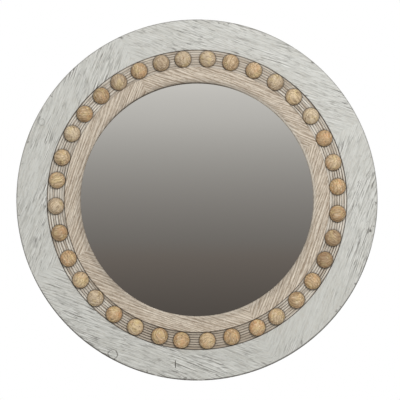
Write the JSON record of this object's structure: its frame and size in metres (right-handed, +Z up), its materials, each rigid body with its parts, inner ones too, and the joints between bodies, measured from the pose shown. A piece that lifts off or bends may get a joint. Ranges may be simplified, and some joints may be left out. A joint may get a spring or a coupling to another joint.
{
  "type": "round mirror",
  "caption": "Round wall mirror in a wide wooden ring, with half-round beads set in a turned channel round the glass and swinging wire rings on the back to hang it by.",
  "frame": {"origin": "on the mirror's axis, in the plane of the wall that the bumpers rest on", "axes": "+Z up, +Y from the mirror's front into the wall, +X to the right seen from the front"},
  "size_m": [0.762, 0.0455, 0.762],
  "materials": {
    "painted_wood": "matte",
    "bead_wood": "matte",
    "dowel_wood": "matte",
    "silvered_glass": "polished",
    "cardboard": "matte",
    "fibreboard": "matte",
    "zinc_steel": "satin",
    "rubber": "matte"
  },
  "bodies": {
    "mirror": {"frame_board_top": "painted_wood", "frame_board_left": "painted_wood", "frame_board_bottom": "painted_wood", "frame_board_right": "painted_wood", "bead_01": "bead_wood", "bead_02": "bead_wood", "bead_03": "bead_wood", "bead_04": "bead_wood", "bead_05": "bead_wood", "bead_06": "bead_wood", "bead_07": "bead_wood", "bead_08": "bead_wood", "bead_09": "bead_wood", "bead_10": "bead_wood", "bead_11": "bead_wood", "bead_12": "bead_wood", "bead_13": "bead_wood", "bead_14": "bead_wood", "bead_15": "bead_wood", "bead_16": "bead_wood", "bead_17": "bead_wood", "bead_18": "bead_wood", "bead_19": "bead_wood", "bead_20": "bead_wood", "bead_21": "bead_wood", "bead_22": "bead_wood", "bead_23": "bead_wood", "bead_24": "bead_wood", "bead_25": "bead_wood", "bead_26": "bead_wood", "bead_27": "bead_wood", "bead_28": "bead_wood", "bead_29": "bead_wood", "bead_30": "bead_wood", "bead_31": "bead_wood", "bead_32": "bead_wood", "bead_33": "bead_wood", "bead_34": "bead_wood", "bead_35": "bead_wood", "bead_36": "bead_wood", "joint_dowels": "dowel_wood", "mirror_glass": "silvered_glass", "cardboard_liner": "cardboard", "backing_board": "fibreboard", "backing_screws": "zinc_steel", "hanger_screws": "zinc_steel", "hanger_strap_left": "zinc_steel", "bumper_left": "rubber", "hanger_strap_right": "zinc_steel", "bumper_right": "rubber"},
    "left_ring": {"hanger_ring_left": "zinc_steel"},
    "right_ring": {"hanger_ring_right": "zinc_steel"}
  },
  "joints": [
    {"name": "left_ring_swing", "type": "hinge", "parent": "mirror", "child": "left_ring", "pos_m": [-0.24988, -0.00335, 0.23931], "axis": [1, 0, 0], "range_deg": [0, 180]},
    {"name": "right_ring_swing", "type": "hinge", "parent": "mirror", "child": "right_ring", "pos_m": [0.24988, -0.00335, 0.23931], "axis": [1, 0, 0], "range_deg": [0, 180]}
  ]
}
